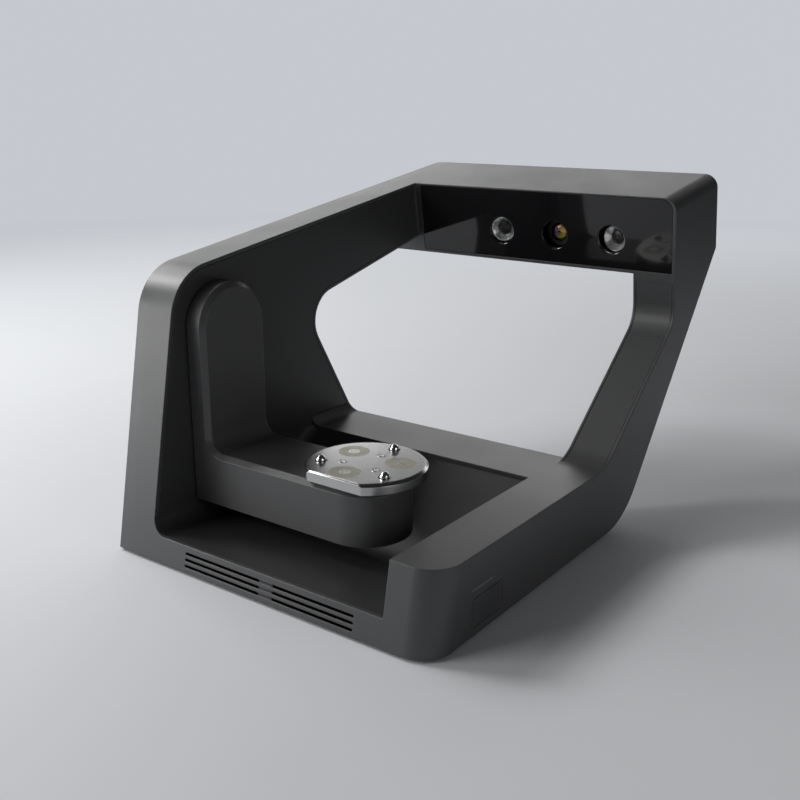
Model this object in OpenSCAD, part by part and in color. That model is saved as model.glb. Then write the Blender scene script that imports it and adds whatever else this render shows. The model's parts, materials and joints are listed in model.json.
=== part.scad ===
// Desktop 3D scanner for small models: a tray housing whose left wall and right strut carry the
// optics head, and a swinging arm with a turntable plate that holds the model before two cameras.
// Lengths are millimetres. Inside the modules x runs to the right from the middle of the housing,
// y runs back from the front bottom edge and z up from the underside of the housing.

/* [Housing] */
// Overall width
width = 280; // [268:1:304]
// Depth of the underside
base_deep = 262; // [256:1:270]
// Angle by which the front face leans back
front_lean = 10.9; // [9:0.1:12]
// Angle by which the rear of the base and of the left wall leans forward
rear_lean = 30.1; // [28:0.1:32]
// Height of the rims beside and behind the tray
rim_h = 54.8; // [52:0.1:58]
// Height of the tray floor
tray_h = 18.6; // [17:0.1:21]
// Thickness of the moulded walls
shell_t = 3; // [2.5:0.1:3.5]
// Thickness of the left wall from its outer to its inner face
wall_w = 36.5; // [34:0.5:39]
// Width of the rim on the right
side_rim_w = 37.4; // [36:0.1:40]
// Width of the rear rim's top, front to back
rear_rim_w = 53.2; // [48:0.1:60]
// Height of the small step under the front edge of the rear rim
rim_lip = 3.5; // [2.5:0.1:5]
// Slope angle of the ramp behind the tray floor
ramp_rise = 31; // [28:0.5:34]
// Radius of the upright corner at the right of the front
corner_r = 21; // [12:1:26]
// Radius of the top front corner of the left wall
crown_r = 40; // [25:1:50]
// Height of the inner corner where the left wall turns into its upper beam
nook_h = 157.3; // [150:0.1:162]
// Angle by which the underside of that beam rises to the head
nook_rise = 13.6; // [11:0.1:15]
// Radius of that inner corner
nook_r = 25; // [12:1:30]
// Gap of the parting lines
seam = 0.4; // [0.2:0.1:0.6]

/* [Head] */
// Distance of the head's upper front edge behind the base
head_reach = 61.4; // [54:0.1:68]
// Height of the head's upper front edge
head_z = 243.4; // [236:0.1:250]
// Slope angle of the top face
top_rise = 8.6; // [7:0.1:9]
// Angle by which the head's front leans forward at its top
head_lean = 9; // [8:0.1:11]
// Angle by which the head's rear leans forward at its top
head_back_lean = 10.1; // [9:0.1:12]
// Height of the head's front face
head_tall = 62.5; // [58:0.5:68]
// Depth of the head's underside
head_deep = 88.5; // [84:0.5:96]
// Radius of the head's upper right edge
head_edge_r = 11; // [6:0.5:14]
// Thickness of the front glass
glass_t = 3; // [2:0.5:4]
// Sideways place of the projector lens
optics_x = 35; // [28:1:40]
// Distance between the projector and each camera
optics_step = 51; // [48:0.5:54]
// Height of the lenses above the head's underside
optics_h = 26; // [24:0.5:30]
// Radius of the three apertures in the glass
aperture_r = 11.5; // [10:0.5:12.5]
// Angle by which the cameras turn in to the turntable
toe_in = 10; // [6:1:12]

/* [Strut] */
// Width of the right strut
strut_w = 35; // [33:0.5:36]
// Distance of the strut's rear edge at the desk behind the base
strut_out = 2.4; // [0:0.1:6]
// Distance of the strut's front face before the rear edge of the rim
strut_rim_in = 3.5; // [1:0.1:8]
// Length of the strut's upper upright stretch below the head
strut_neck = 37.9; // [32:0.1:44]
// Radius of the bend above the rim
strut_low_r = 40; // [20:1:45]
// Radius of the bend below the head
strut_high_r = 24; // [10:1:30]
// Radius of the rear edge at the desk
strut_foot_r = 60; // [30:1:60]

/* [Swing arm] */
// Width of the arm, front to back
arm_w = 63; // [58:0.5:66]
// Thickness of the upright part of the arm
arm_t = 16.1; // [15:0.1:18]
// Distance of the pivot axis from the front of the base, as a share of that of the rear rim
pivot_share = 0.4333; // [0.41:0.001:0.45]
// Height of the pivot axis
pivot_z = 160; // [155:0.5:162]
// Height of the arm's underside
beam_z = 32.7; // [31:0.1:36]
// Height of the lying part of the arm
beam_h = 39; // [38:0.5:42]
// Sideways place of the turntable axis
table_x = 33.5; // [28:0.5:36]
// Width of the arm's chamfers
arm_chamfer = 3.5; // [1:0.1:4]
// Radius of the inner corner between the arm's two parts
elbow_r = 11; // [6:0.5:16]
// Gap between the arm and the left wall
arm_gap = 1.4; // [1:0.1:2]
// Diameter of the pivot shaft
pivot_d = 10; // [8:0.5:11]

/* [Turntable] */
// Radius of the turntable plate
plate_r = 42; // [40:0.5:44]
// Thickness of the plate
plate_t = 7.8; // [7:0.1:9]
// Distance of the plate's flat from its centre
flat_r = 35.2; // [34.5:0.1:38]
// Width of the plate's chamfer
plate_chamfer = 2; // [0.5:0.1:2.5]
// Gap between the plate and the arm
plate_gap = 2; // [1.9:0.1:3]
// Diameter of the support balls
ball_d = 7; // [6:0.1:7.5]
// Radius on which the support balls sit
ball_ring = 31.3; // [31:0.1:33]
// Diameter of the magnet discs
magnet_d = 21.5; // [19:0.1:22]
// Thickness of the magnet discs
magnet_t = 3; // [2:0.1:3.5]
// Radius on which the magnet discs sit
magnet_ring = 23.3; // [23:0.1:24]
// Radius on which the plate's small screws sit
screw_ring = 16.4; // [14:0.1:17]
// Diameter of the spindle
spindle_d = 8; // [6:0.5:9]

/* [Gears] */
// Clearance of the turntable gear inside the arm
gear_clear = 3.75; // [3:0.25:5]
// Teeth on each large gear
gear_teeth = 48; // [44:1:48]
// Teeth on each motor pinion
pinion_teeth = 12; // [12:1:13]
// Width of the large gears
gear_w = 4; // [3:0.1:4.2]

/* [Front and right side] */
// Height of a vent slot
vent_h = 2; // [1.4:0.1:2.2]
// Height from one vent slot to the next
vent_step = 4.35; // [4:0.05:4.6]
// Height of the lowest vent slot
vent_z = 4.6; // [4.4:0.1:5]
// Length of the button
button_l = 35; // [30:0.5:38]
// Height of the button
button_h = 16.5; // [12:0.5:17]
// Travel of the button
button_travel = 1.2; // [0.8:0.1:1.4]

/* [Hidden] */
$fn = 96;

// Cut overrun, running clearance and the fit clearance of parts that sit in pockets
over = 1;
slack = 0.3;
fit = 0.05;

// Colours
charcoal = "#47494c";
dark = "#2b2d30";
steel = "#b9bcc0";
brass = "#b59a5a";
board_green = "#1f5a3c";

// Places on the housing
left_x = -width / 2;
right_x = width / 2;
inner_x = left_x + wall_w;
rim_x = right_x - side_rim_w;
strut_x = right_x - strut_w;
foot_h = 2;
seam_back = 28;
tray_t = 2.6;
tray_fillet = 12;
ramp_fillet = 8;
ramp_bend_r = 20;

// Corners of the side view, as [y, z]
function dir(a) = [cos(a), sin(a)];
function turn(u, v) = u[0] * v[1] - u[1] * v[0];
function unit(v) = v / norm(v);
function meet(p, u, q, v) = p + u * turn(q - p, v) / turn(u, v);
function flat(p) = [p[0], p[1]];
function inward(u) = [-u[1], u[0]];
function front_y(z) = z * tan(front_lean);
function rear_y(z) = base_deep - z * tan(rear_lean);
rear_rim_y = rear_y(rim_h) - rear_rim_w;
seam_y = rear_rim_y + seam_back;
pivot_y = pivot_share * rear_rim_y;
head_y = base_deep + head_reach;
strut_back_y = base_deep + strut_out;
strut_rim_y = rear_y(rim_h) - strut_rim_in;
head_top_front = [head_y, head_z];
head_low_front = head_top_front - head_tall * dir(90 + head_lean);
head_low_back = head_low_front + head_deep * dir(head_lean);
head_top_back = meet(head_low_back, dir(90 + head_back_lean), head_top_front, dir(top_rise));
crown = meet([0, 0], dir(90 - front_lean), head_top_front, dir(top_rise));
nook = [rear_y(nook_h), nook_h];
nook_end = meet(nook, dir(nook_rise), head_low_front, dir(90 + head_lean));
strut_bend = head_low_front - strut_neck * dir(90 + head_lean);
strut_rim = [strut_rim_y, rim_h];
depth = head_low_back[0];

// Outlines of the side view, as [y, z, corner radius], anticlockwise
wall_outline = [[0, 0, 0], [base_deep, 0, 0], [nook[0], nook[1], nook_r],
    [nook_end[0], nook_end[1], 0], [head_y, head_z, 0], [crown[0], crown[1], crown_r]];
base_outline = [[0, 0, 0], [base_deep, 0, 0], [rear_y(rim_h), rim_h, 0], [front_y(rim_h), rim_h, 0]];
strut_outline = [[seam_y, 0, 0], [strut_back_y, 0, strut_foot_r],
    [head_low_back[0], head_low_back[1], 0], [head_low_front[0], head_low_front[1], 0],
    [strut_bend[0], strut_bend[1], strut_high_r], [strut_rim[0], strut_rim[1], strut_low_r],
    [seam_y, rim_h, 0]];
head_outline = [[head_low_front[0], head_low_front[1], 0], [head_low_back[0], head_low_back[1], 0],
    [head_top_back[0], head_top_back[1], 0], [head_y, head_z, 0]];

// The outline moved inward by d, with its corner radii to suit
function inset(o, d) = [for (i = [0:len(o) - 1])
    let (n = len(o), p = flat(o[i]), u = unit(p - flat(o[(i + n - 1) % n])),
        v = unit(flat(o[(i + 1) % n]) - p), q = meet(p + d * inward(u), u, p + d * inward(v), v),
        r = o[i][2])
    [q[0], q[1], r == 0 ? 0 : turn(u, v) > 0 ? max(r - d, 0) : r + d]];

// Each rounded corner: its point, the two ends of its arc, the arc's centre, radius and sense
function corners(o) = [for (i = [0:len(o) - 1]) if (o[i][2] > 0)
    let (n = len(o), p = flat(o[i]), u = unit(p - flat(o[(i + n - 1) % n])),
        v = unit(flat(o[(i + 1) % n]) - p), s = turn(u, v) > 0 ? 1 : -1, r = o[i][2],
        t = r * tan(acos(u * v) / 2))
    [p, p - t * u, p + t * v, p - t * u + s * r * inward(u), r, s]];

// How far a wedge reaches past its corner, as a share of the corner's distance from the arc's centre
wedge_share = 0.2;

// How far an arc reaches past the straight edges it meets
touch = 0.0002;

// What an arc takes off an outer corner or adds to an inner one
module wedge(c) {
    difference() {
        polygon([c[0] + wedge_share * (c[0] - c[3]), c[1], c[3], c[2]]);
        translate(c[3]) circle(c[4] + touch);
    }
}

// A closed outline with true arcs in its corners
module rounded(o) {
    difference() {
        union() {
            polygon([for (p = o) flat(p)]);
            for (c = corners(o)) if (c[5] < 0) wedge(c);
        }
        for (c = corners(o)) if (c[5] > 0) wedge(c);
    }
}

// Extrusions of a side view along x, of a front view along y, and of a plan up the leaning front
module along_x(x0, x1) {
    translate([x0, 0, 0]) rotate([90, 0, 90]) linear_extrude(x1 - x0) children();
}
module along_y(y0, y1) {
    translate([0, y1, 0]) rotate([90, 0, 0]) linear_extrude(y1 - y0) children();
}
module up_front() {
    rotate([-front_lean, 0, 0]) translate([0, 0, -base_deep]) linear_extrude(3 * base_deep) children();
}

// A block between two corners
module block(a, b) {
    translate(a) cube(b - a);
}

// A round bar along x, from x0 to x1
module bar_x(x0, x1, r) {
    translate([x0, 0, 0]) rotate([0, 90, 0]) cylinder(x1 - x0, r, r);
}

// The origin lies on the desk below the middle of the box round the object
module placed() {
    translate([0, -depth / 2, foot_h]) children();
}

// The head's own frame: y back from its front face, z up from its underside
module in_head() {
    translate([0, head_low_front[0], head_low_front[1]]) rotate([head_lean, 0, 0]) children();
}

// Tray: floor, ramp and the fillets against the left wall
ramp_top = [rear_rim_y, rim_h - rim_lip];
ramp_foot = [rear_rim_y - (rim_h - rim_lip - tray_h) / tan(ramp_rise), tray_h];
tray_front_y = front_y(tray_h) + shell_t;
tray_under = [[ramp_top[0], ramp_top[1] - tray_t / cos(ramp_rise)],
    [ramp_foot[0] + tray_t * tan(ramp_rise / 2), tray_h - tray_t]];
tray_outline = [[tray_front_y, tray_h - tray_t, 0],
    [tray_under[1][0], tray_under[1][1], ramp_bend_r + tray_t], [tray_under[0][0], tray_under[0][1], 0],
    [ramp_top[0], ramp_top[1], 0], [ramp_foot[0], ramp_foot[1], ramp_bend_r],
    [tray_front_y, tray_h, 0]];

// The corner fillet of radius r, in the front view
module fillet(r) {
    difference() {
        translate([-over, -over]) square(r + over);
        translate([r, r]) circle(r);
    }
}

module tray() color(dark) placed() {
    posts(front_posts, shell_t, tray_h - over);
    along_x(inner_x, rim_x) rounded(tray_outline);
    translate([inner_x, 0, tray_h]) intersection() {
        along_y(tray_front_y, ramp_foot[0]) fillet(tray_fillet);
        cube([tray_fillet, ramp_foot[0], tray_fillet]);
    }
    intersection() {
        translate([inner_x, ramp_foot[0], tray_h]) rotate([ramp_rise, 0, 0])
            along_y(-tray_fillet, rear_rim_y) fillet(ramp_fillet);
        block([inner_x, tray_front_y, tray_h], [rim_x, rear_rim_y, rim_h]);
    }
}

// The outline reaching past the front face, where the leaning plan bounds it
function open_front(o) = [for (p = o) [p[0] < base_deep / 2 ? -over : p[0], p[1], p[2]]];

// Base: outer walls, sill and rims round the tray
module plan(d) {
    x1 = right_x - d;
    x0 = inner_x + d;
    rounded([[x0, d, 0], [x1, d, max(corner_r - d, 0)], [x1, 2 * base_deep, 0], [x0, 2 * base_deep, 0]]);
}

module vents() {
    for (row = [0:2]) {
        z = vent_z + row * vent_step;
        along_y(-over, 2 * shell_t + over) {
            for (x = [vent_x[0] + vent_h / 2, vent_x[1] + vent_l[1] - vent_h / 2])
                translate([x, z]) circle(vent_h / 2);
            translate([vent_x[0] + vent_h / 2, z - vent_h / 2]) square([vent_l[0] - vent_h / 2, vent_h]);
            translate([vent_x[1], z - vent_h / 2]) square([vent_l[1] - vent_h / 2, vent_h]);
        }
        rotate([-front_lean, 0, 0])
            translate([vent_x[1] - vent_gap - over, -over, z / cos(front_lean) - groove_share * vent_h / 2])
                cube([vent_gap + 2 * over, over + groove_t, groove_share * vent_h]);
    }
}
groove_t = 0.8;
groove_share = 0.8;
vent_left = 34.5;
vent_right = 21.6;
vent_gap = 12;
vent_share = 0.507;
vents_l = rim_x - vent_right - inner_x - vent_left - vent_gap;
vent_l = [vent_share * vents_l, (1 - vent_share) * vents_l];
vent_x = [inner_x + vent_left, rim_x - vent_right - vent_l[1]];

module base_shell() color(charcoal) placed() {
    difference() {
        intersection() {
            along_x(inner_x, right_x) rounded(open_front(base_outline));
            up_front() plan(0);
        }
        base_hollow();
        well();
        block([strut_x, seam_y, -over], [right_x + over, base_deep + over, rim_h + over]);
        bottom_opening();
        vents();
        button_recess();
        light_slots();
        niche(0);
    }
    rim_fillet();
    niche_walls();
    posts(rear_posts, shell_t, rim_h - over);
}

// The space of the tray and everything above it, down to the tray's underside
module well() {
    along_x(inner_x - over, rim_x) rounded([[tray_front_y, tray_h - tray_t, 0],
        [tray_under[1][0], tray_under[1][1], ramp_bend_r + tray_t],
        [tray_under[0][0], tray_under[0][1], 0], [rear_rim_y, rim_h + over, 0],
        [tray_front_y, rim_h + over, 0]]);
    along_y(-over, tray_front_y + over) rounded([[inner_x, tray_h, tray_fillet], [rim_x, tray_h, 0],
        [rim_x, rim_h + over, 0], [inner_x, rim_h + over, 0]]);
}

// The inside of the base: all but the tray's space and the walls round it
module base_hollow() {
    difference() {
        intersection() {
            up_front() plan(shell_t);
            along_x(inner_x + shell_t, right_x) rounded(open_front(inset(base_outline, shell_t)));
        }
        along_x(inner_x, rim_x + shell_t) rounded([[0, tray_h - tray_t + over, 0],
            [tray_under[1][0], tray_under[1][1] + over, ramp_bend_r + tray_t],
            [tray_under[0][0], tray_under[0][1] + over, 0],
            [rear_rim_y + shell_t, tray_under[0][1] + over, 0], [rear_rim_y + shell_t, rim_h, 0],
            [0, rim_h, 0]]);
    }
}

// The fillet where the rear rim meets the left wall
module rim_fillet() {
    intersection() {
        translate([inner_x, 0, rim_h]) along_y(rear_rim_y, base_deep) fillet(ramp_fillet);
        along_x(inner_x, inner_x + ramp_fillet) polygon([[rear_rim_y, rim_h], [rear_y(rim_h), rim_h],
            [rear_y(rim_h + ramp_fillet), rim_h + ramp_fillet], [rear_rim_y, rim_h + ramp_fillet]]);
    }
}

// Opening of the underside and the plate that closes it
hatch_y0 = 2 * shell_t;
hatch_y1 = base_deep - 3 * shell_t;
post_r = 4;
screw_r = 1.25;
screw_head_r = 2.6;
screw_head_t = 1.6;
post_in = 17;
post_x = [inner_x + post_in, rim_x - post_in];
front_posts = [for (x = post_x, y = [hatch_y0 + post_in, ramp_foot[0] - post_in]) [x, y]];
rear_posts = [for (x = post_x) [x, rear_rim_y + rear_rim_w / 2]];
module bottom_opening() {
    block([inner_x + shell_t, hatch_y0, -over], [rim_x, hatch_y1, shell_t + over]);
}

module posts(places, z0, z1) {
    for (p = places) translate([p[0], p[1], z0]) difference() {
        cylinder(z1 - z0, post_r, post_r);
        translate([0, 0, -over]) cylinder(2 * screw_head_t + 2 * over, screw_r, screw_r);
    }
}

module bottom_plate() color(dark) placed() difference() {
    block([inner_x + shell_t + slack, hatch_y0 + slack, 0], [rim_x - slack, hatch_y1 - slack, shell_t]);
    for (p = concat(front_posts, rear_posts)) translate([p[0], p[1], -over]) {
        cylinder(shell_t + 2 * over, screw_r + fit, screw_r + fit);
        cylinder(screw_head_t + over, screw_head_r + fit, screw_head_r + fit);
    }
}

module bottom_screws() color(steel) placed()
    for (p = concat(front_posts, rear_posts)) translate([p[0], p[1], 0]) {
        cylinder(screw_head_t, screw_head_r, screw_head_r);
        cylinder(shell_t + 2 * screw_head_t, screw_r, screw_r);
    }

foot_r = 9;
foot_in = 18;
foot_gap = 1;
feet = [[left_x + foot_in, foot_in], [right_x - foot_in, corner_r + foot_r],
    [left_x + foot_in, base_deep - foot_in], [right_x - foot_in, seam_y + foot_r + foot_gap]];
module rubber_feet() color("#1b1b1c") placed()
    for (p = feet) translate([p[0], p[1], -foot_h]) {
        cylinder(foot_h, foot_r, foot_r);
    }

// Button, its recess and the light windows above it
button_y = 43;
button_z = 8;
button_round = 1.5;
recess_t = 0.5;
recess_border = 2.6;
button_face_x = right_x - recess_t / 2;
button_flange = 1.6;
button_outline = [[button_y, button_z, button_round], [button_y + button_l, button_z, button_round],
    [button_y + button_l, button_z + button_h, button_round],
    [button_y + button_h * tan(front_lean), button_z + button_h, button_round]];
light_z = 31.2;
light_y = button_y + 1;
light_l = 23.7;
light_h = 1.2;
dot_gap = 1.9;
dot_r = 0.6;

module button_recess() {
    along_x(right_x - recess_t, right_x + over) rounded(inset(button_outline, -recess_border));
    along_x(right_x - shell_t - over, right_x) rounded(inset(button_outline, -slack));
}

module light_forms(x0, x1, d) {
    along_x(x0, x1) {
        translate([light_y - d, light_z - light_h / 2 - d]) square([light_l + 2 * d, light_h + 2 * d]);
        translate([light_y + light_l + dot_gap, light_z]) circle(dot_r + d);
    }
}

module light_slots() {
    light_forms(right_x - shell_t - over, right_x + over, fit);
}

module indicator_lights() color("#d9dde2") placed()
    light_forms(right_x - shell_t, right_x - fit, 0);

stem_r = 3;
stem_l = 5;
module power_button() color(dark) placed() {
    along_x(right_x - shell_t - slack - button_flange, right_x - shell_t - slack)
        rounded(inset(button_outline, -button_flange));
    along_x(right_x - shell_t - slack, button_face_x) rounded(button_outline);
    translate([0, button_y + button_l / 2, button_z + button_h / 2])
        bar_x(right_x - shell_t - slack - button_flange - stem_l,
            right_x - shell_t - slack - button_flange, stem_r);
}

switch_l = 14;
switch_w = 12;
module button_switch() color("#202225") placed() {
    x1 = right_x - shell_t - slack - button_flange - stem_l - button_travel - slack;
    y = button_y + button_l / 2;
    z = button_z + button_h / 2;
    block([x1 - switch_l, y - switch_w / 2, shell_t], [x1 - stem_r, y + switch_w / 2, z + switch_w / 2]);
    translate([0, y, z]) bar_x(x1 - stem_r, x1, stem_r - slack);
}

// Niche at the rear with the power inlet and the data port
niche_in = 33.5;
niche_w = 64;
niche_deep = 28;
niche_x = [inner_x + niche_in, inner_x + niche_in + niche_w];
niche_z = [7, 31];
niche_y = base_deep - niche_deep;
port_t = 1.2;
port_in = 18;
inlet_x = niche_x[0] + port_in;
data_x = niche_x[1] - port_in;
port_z = 18;
inlet_r = 5.5;
inlet_bore = 3.2;
inlet_pin = 1.1;
inlet_l = 9;
data_w = 12;
data_h = 10.8;
data_wall = 0.6;
data_tongue = [5.6, 3.2];
port_body = 14;
board_z = 6.5;
board_t = 1.6;

module niche(d) {
    block([niche_x[0] - d, niche_y - d, niche_z[0] - d], [niche_x[1] + d, base_deep + over, niche_z[1] + d]);
}

module niche_walls() {
    difference() {
        intersection() {
            along_x(inner_x, right_x) rounded(base_outline);
            niche(shell_t);
        }
        niche(0);
        port_holes(niche_y - shell_t - over, niche_y + over, slack);
    }
}

module port_holes(y0, y1, d) {
    translate([inlet_x, 0, port_z]) along_y(y0, y1) circle(inlet_r + d);
    block([data_x - data_w / 2 - d, y0, port_z - data_h / 2 - d],
        [data_x + data_w / 2 + d, y1, port_z + data_h / 2 + d]);
}

module port_plate() color(steel) placed() difference() {
    block([niche_x[0] + slack, niche_y, niche_z[0] + slack],
        [niche_x[1] - slack, niche_y + port_t, niche_z[1] - slack]);
    port_holes(niche_y - over, niche_y + port_t + over, slack);
}

module power_inlet() color(dark) placed() difference() {
    union() {
        translate([inlet_x, 0, port_z]) along_y(niche_y - shell_t - slack, niche_y + port_t + slack)
            circle(inlet_r);
        block([inlet_x - port_body / 2, niche_y - shell_t - slack - port_body, board_z + board_t],
            [inlet_x + port_body / 2, niche_y - shell_t - slack, port_z + port_body / 2]);
    }
    translate([inlet_x, 0, port_z]) along_y(niche_y - inlet_l, niche_y + port_t + over) difference() {
        circle(inlet_bore);
        circle(inlet_pin);
    }
}

module data_port() color(steel) placed() {
    y0 = niche_y - shell_t - slack - port_body;
    y1 = niche_y + port_t + slack;
    difference() {
        block([data_x - data_w / 2, y0, board_z + board_t], [data_x + data_w / 2, y1, port_z + data_h / 2]);
        block([data_x - data_w / 2 + data_wall, niche_y - inlet_l, port_z - data_h / 2 + data_wall],
            [data_x + data_w / 2 - data_wall, y1 + over, port_z + data_h / 2 - data_wall]);
        block([data_x - data_w / 2 - over, niche_y - shell_t - slack, board_z],
            [data_x + data_w / 2 + over, y1 + over, port_z - data_h / 2]);
    }
    block([data_x - data_tongue[0] / 2, niche_y - inlet_l, port_z - data_tongue[1] / 2],
        [data_x + data_tongue[0] / 2, niche_y, port_z + data_tongue[1] / 2]);
}

board_in = 25;
board_l = 79;
board_gap = 5;
board_foot_in = 4;
board_x = [inner_x + board_in, rim_x - board_in];
board_y = [niche_y - board_gap - board_l, niche_y - board_gap];
foot_shift = [board_foot_in, -board_foot_in];
board_feet = [for (x = board_x + foot_shift, y = board_y + foot_shift) [x, y]];

// Each chip's place on the board as two shares, its width and its height
chips = [[0.26, 0.25, 18, 2], [0.58, 0.23, 14, 2], [0.71, 0.57, 22, 8], [0.45, 0.63, 10, 4]];
module main_board() color(board_green) placed() {
    block([board_x[0], board_y[0], board_z], [board_x[1], board_y[1], board_z + board_t]);
    for (p = board_feet) translate([p[0], p[1], shell_t])
        cylinder(board_z - shell_t, stem_r, stem_r);
    board_w = board_x[1] - board_x[0];
    for (c = chips) translate([board_x[0] + c[0] * board_w, board_y[0] + c[1] * board_l, board_z + board_t])
        cube([c[2], c[2], c[3]]);
}

// Left wall: outer shell and the inner panel set into it
edge_r = 1.5;
crease_w = 14;
crease_t = 0.6;
crease_touch = 0.003;
touch_turn = 1;
liner_t = 3;
wall_tongue = 2.5;
crown_arc = corners(wall_outline)[1];

// What the outer edge's form takes off: x from the outer face inward, y from the front or top inward
module edge_view() {
    difference() {
        translate([-over, -over]) square([crease_w + over, 2 * edge_r + over]);
        polygon([[0, crease_t + edge_r], [edge_r, crease_t * (1 - edge_r / crease_w)], [2 * crease_w, -crease_t],
            [2 * crease_w, 4 * edge_r], [0, 4 * edge_r]]);
    }
}

// That form along the top, from a distance before the head's front edge to behind the head
module top_edge(start) {
    translate([left_x, head_y, head_z]) rotate([top_rise, 0, 0]) along_y(-start, 2 * head_deep)
        mirror([0, 1]) edge_view();
}

module wall_edge() {
    rotate([-front_lean, 0, 0]) translate([left_x, 0, -over])
        linear_extrude(norm(crown_arc[2]) + 2 * over) edge_view();
    translate([left_x, crown_arc[3][0], crown_arc[3][1]]) rotate([90, 0, 90])
        rotate([0, 0, 90 + top_rise - touch_turn])
            rotate_extrude(angle = 90 - front_lean - top_rise + 2 * touch_turn)
                translate([crown_r - crease_touch, 0]) rotate(90) edge_view();
    top_edge(norm(crown_arc[1] - head_top_front) + over);
}

module under_top(r) {
    translate([0, head_y, head_z]) rotate([top_rise, 0, 0]) along_y(-2 * base_deep, 2 * base_deep)
        rounded([[left_x, -2 * head_z, 0], [right_x, -2 * head_z, 0], [right_x, 0, r], [left_x, 0, 0]]);
}

module left_wall_shell() color(charcoal) placed() {
    difference() {
        along_x(left_x, inner_x) rounded(wall_outline);
        along_x(left_x + shell_t, inner_x + over) rounded(inset(wall_outline, wall_tongue));
        wall_edge();
    }
}

shaft_hole_r = pivot_d / 2 + 2;
module left_wall_liner() color(dark) placed() difference() {
    along_x(inner_x - liner_t, inner_x) rounded(inset(wall_outline, wall_tongue + seam));
    translate([0, pivot_y, pivot_z]) bar_x(inner_x - liner_t - over, inner_x + over, shaft_hole_r);
}

// Right strut: hollow shell with a cover let into its front
cover_t = 3;
cover_side = 2.5;
cover_reach = 15;
cover_top = head_low_front - 2 * cover_t * dir(90 + head_lean);
module strut_front() {
    intersection() {
        difference() {
            rounded(strut_outline);
            rounded(inset(strut_outline, cover_t));
        }
        polygon([strut_rim + [-cover_reach / 2, -cover_t - over], strut_rim + [cover_reach, -cover_t - over],
            strut_bend + [cover_reach, -cover_reach], cover_top + cover_reach * dir(head_lean),
            cover_top - cover_reach * dir(head_lean), [strut_rim[0] - cover_reach / 2, strut_bend[1]]]);
    }
}

module right_strut_shell() color(charcoal) placed() difference() {
    along_x(strut_x, right_x) rounded(strut_outline);
    along_x(strut_x + shell_t, right_x - shell_t) rounded(inset(strut_outline, shell_t));
    along_x(strut_x + cover_side - seam, right_x - cover_side + seam) strut_front();
}

module strut_cover() color(dark) placed()
    along_x(strut_x + cover_side, right_x - cover_side) strut_front();

cable_t = 1;
cable_w = 18;
cable_low = 34;
cable_high = 14;
module head_cable() color("#9a9da3") placed()
    along_x(right_x - strut_w / 2 - cable_w / 2, right_x - strut_w / 2 + cable_w / 2) intersection() {
        difference() {
            rounded(inset(strut_outline, shell_t + slack));
            rounded(inset(strut_outline, shell_t + slack + cable_t));
        }
        cable_zone(unit(head_low_back - [strut_back_y, 0]));
    }

// The stretch of the strut's rear wall, of direction u, along which the cable runs
module cable_zone(u) {
    low = [strut_back_y, 0] + cable_low * u;
    high = head_low_back - cable_high * u;
    polygon([low, high, high + 2 * shell_t * inward(u), low + 2 * shell_t * inward(u)]);
}

// Head: shell, glass, rear cover and what they hold
glass_left = 5.5;
glass_right = 3;
glass_low = 2.8;
glass_high = 1.4;
glass = [[inner_x + glass_left, glass_low], [right_x - glass_right, head_tall - glass_high]];
glass_r = 8.5;
glass_ledge = 2;
aperture_bevel = 0.6;
ledge_w = 3;
glass_outline = [[glass[0][0], glass[0][1], 0], [glass[1][0], glass[0][1], 0],
    [glass[1][0], glass[1][1], glass_r], [glass[0][0], glass[1][1], 0]];

module head_shell() color(charcoal) placed() difference() {
    intersection() {
        along_x(left_x, right_x) rounded(head_outline);
        under_top(head_edge_r);
    }
    top_edge(head_deep);
    intersection() {
        along_x(left_x + shell_t, right_x - shell_t) rounded(inset(head_outline, shell_t));
        translate([0, 0, -shell_t]) under_top(head_edge_r);
        in_head() block([left_x, glass_t + glass_ledge, 0], [right_x, 2 * head_deep, 2 * head_tall]);
    }
    in_head() {
        along_y(-over, glass_t) rounded(inset(glass_outline, -slack));
        along_y(0, glass_t + glass_ledge + over) rounded(inset(glass_outline, ledge_w));
    }
    in_rear() {
        along_y(-rear_cover_t, over) rounded(inset(rear_outline, -seam));
        along_y(-shell_t - over, 0) rounded(inset(rear_outline, ledge_w));
    }
}

module front_glass() color("#0a0b0e") placed() in_head() difference() {
    along_y(0, glass_t) rounded(glass_outline);
    for (side = [-1:1]) translate([optics_x + side * optics_step, 0, optics_h]) {
        along_y(-over, glass_t + over) circle(aperture_r);
        translate([0, -over, 0]) rotate([-90, 0, 0])
            cylinder(over + aperture_bevel, aperture_r + aperture_bevel + over, aperture_r);
    }
}

// The rear face's frame: z up the face, y outward
rear_cover_t = 2;
rear_edge = 9;
rear_r = 5;
rear_slots = 14;
rear_slot_w = 2.4;
rear_slot_h = 22;
rear_slot_step = 6;
rear_outline = [[left_x + 2 * rear_edge, rear_edge, rear_r], [right_x - 2 * rear_edge, rear_edge, rear_r],
    [right_x - 2 * rear_edge, head_tall - rear_edge, rear_r],
    [left_x + 2 * rear_edge, head_tall - rear_edge, rear_r]];
rear_screws = [for (x = [left_x + 3 * rear_edge, right_x - 3 * rear_edge],
    z = [rear_edge + ledge_w / 2, head_tall - rear_edge - ledge_w / 2]) [x, z]];
rear_screw_r = 1.1;

module in_rear() {
    translate([0, head_low_back[0], head_low_back[1]]) rotate([head_back_lean, 0, 0]) children();
}

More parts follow.
